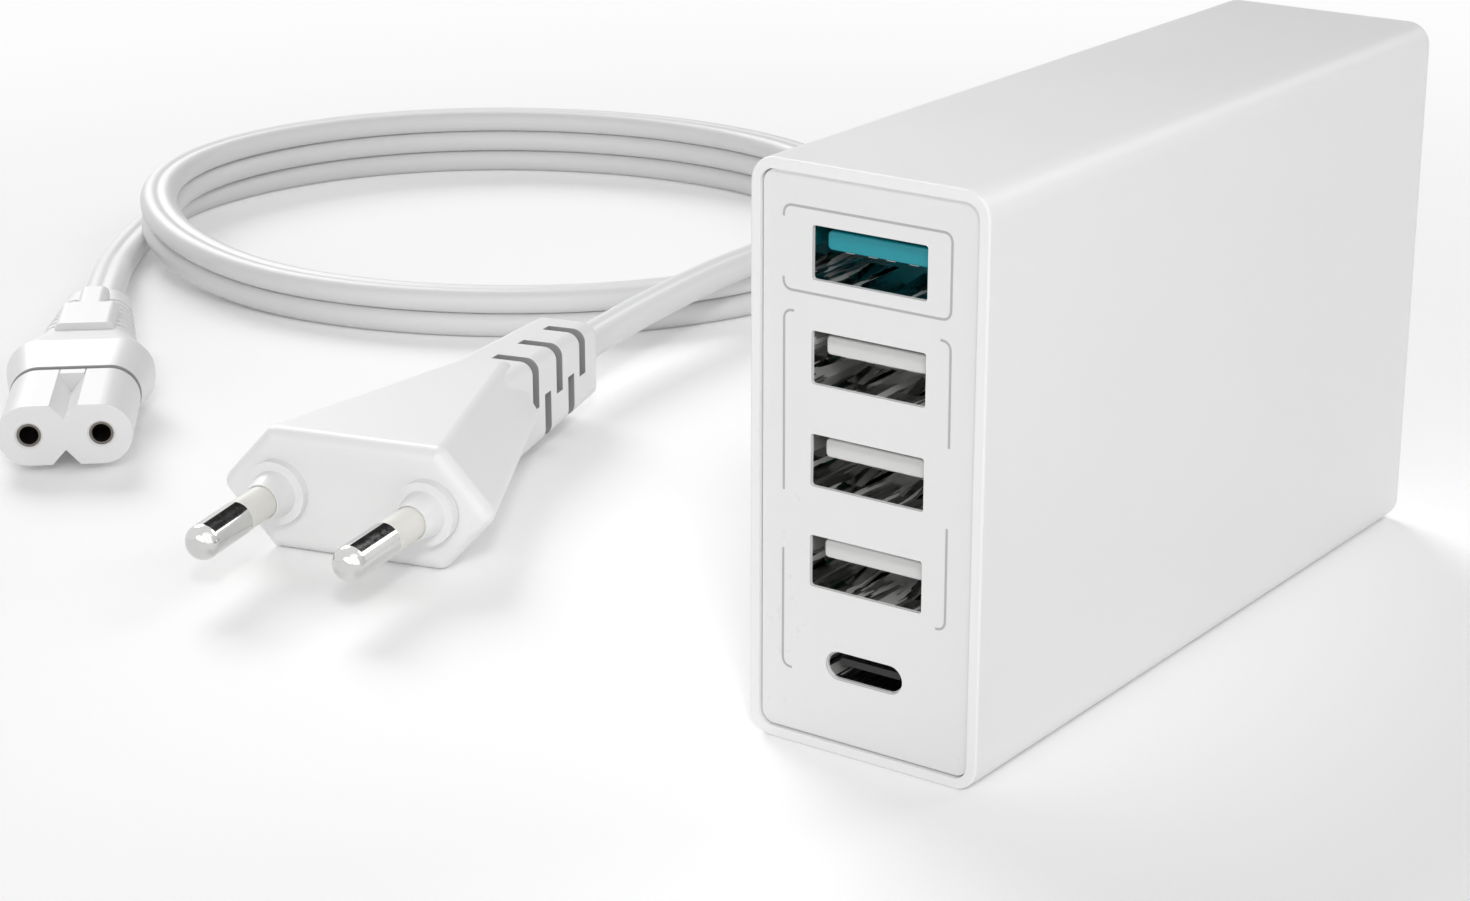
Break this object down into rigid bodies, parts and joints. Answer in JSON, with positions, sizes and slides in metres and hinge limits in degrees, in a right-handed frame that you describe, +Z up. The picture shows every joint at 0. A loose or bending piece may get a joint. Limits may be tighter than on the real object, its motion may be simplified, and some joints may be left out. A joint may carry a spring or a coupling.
{
  "type": "multi port usb desktop charger",
  "caption": "White box-shaped desktop charger standing on its long edge, with stacked sockets in its front, a mains inlet at the back and a coiled flat mains lead beside it.",
  "frame": {"origin": "centre of the charger's base, on the surface it stands on", "axes": "+Z up, the front with the sockets faces -Y, +X is to the right seen from the front"},
  "size_m": [0.2161, 0.1848, 0.058],
  "materials": {
    "white_plastic": "satin white moulding",
    "panel_plastic": "smooth light grey-white",
    "socket_steel": "nickel-plated sheet",
    "teal_plastic": "teal moulding",
    "light_insulator": "white moulding",
    "dark_insulator": "black moulding",
    "contact_metal": "gold-plated",
    "board": "green solder mask",
    "plated_pin": "bright nickel plating",
    "pin_sleeve": "cream moulding",
    "capacitor_sleeve": "dark shrink sleeve",
    "ferrite": "dark sintered ferrite",
    "copper": "enamelled copper",
    "sink_aluminium": "plain sheet",
    "screw_steel": "zinc-plated",
    "blue_coating": "dipped coating",
    "yellow_case": "moulded case",
    "cord": "white flexible sheath"
  },
  "bodies": {
    "root": {"housing": "white_plastic", "plug_body": "white_plastic", "connector_body": "white_plastic", "front_panel": "panel_plastic", "usb_a_shell_1": "socket_steel", "usb_a_shell_2": "socket_steel", "usb_a_shell_3": "socket_steel", "usb_a_shell_4": "socket_steel", "usb_c_shell": "socket_steel", "usb_a_tongue_1": "teal_plastic", "usb_a_tongue_2": "light_insulator", "usb_a_tongue_3": "light_insulator", "usb_a_tongue_4": "light_insulator", "transformer_bobbin": "light_insulator", "insulating_sheet": "light_insulator", "usb_c_tongue": "dark_insulator", "inlet_body": "dark_insulator", "rectifier_transistor": "dark_insulator", "switch_transistor": "dark_insulator", "bridge_rectifier": "dark_insulator", "controller_chip": "dark_insulator", "optocoupler": "dark_insulator", "charge_controllers": "dark_insulator", "usb_a_contacts_1": "contact_metal", "usb_a_contacts_2": "contact_metal", "usb_a_contacts_3": "contact_metal", "usb_a_contacts_4": "contact_metal", "usb_c_contacts": "contact_metal", "connector_contacts": "contact_metal", "main_board": "board", "plug_pins": "plated_pin", "inlet_pins": "plated_pin", "plug_pin_sleeves": "pin_sleeve", "output_capacitors": "capacitor_sleeve", "bulk_capacitors": "capacitor_sleeve", "fuse": "capacitor_sleeve", "transformer_core": "ferrite", "choke_core": "ferrite", "output_inductor": "ferrite", "transformer_winding": "copper", "choke_windings": "copper", "rectifier_heat_sink": "sink_aluminium", "switch_heat_sink": "sink_aluminium", "heat_sink_screws": "screw_steel", "y_capacitor": "blue_coating", "varistor": "blue_coating", "x_capacitor": "yellow_case", "cord_loop": "cord", "cord_plug_end": "cord", "cord_connector_end": "cord"}
  },
  "joints": []
}
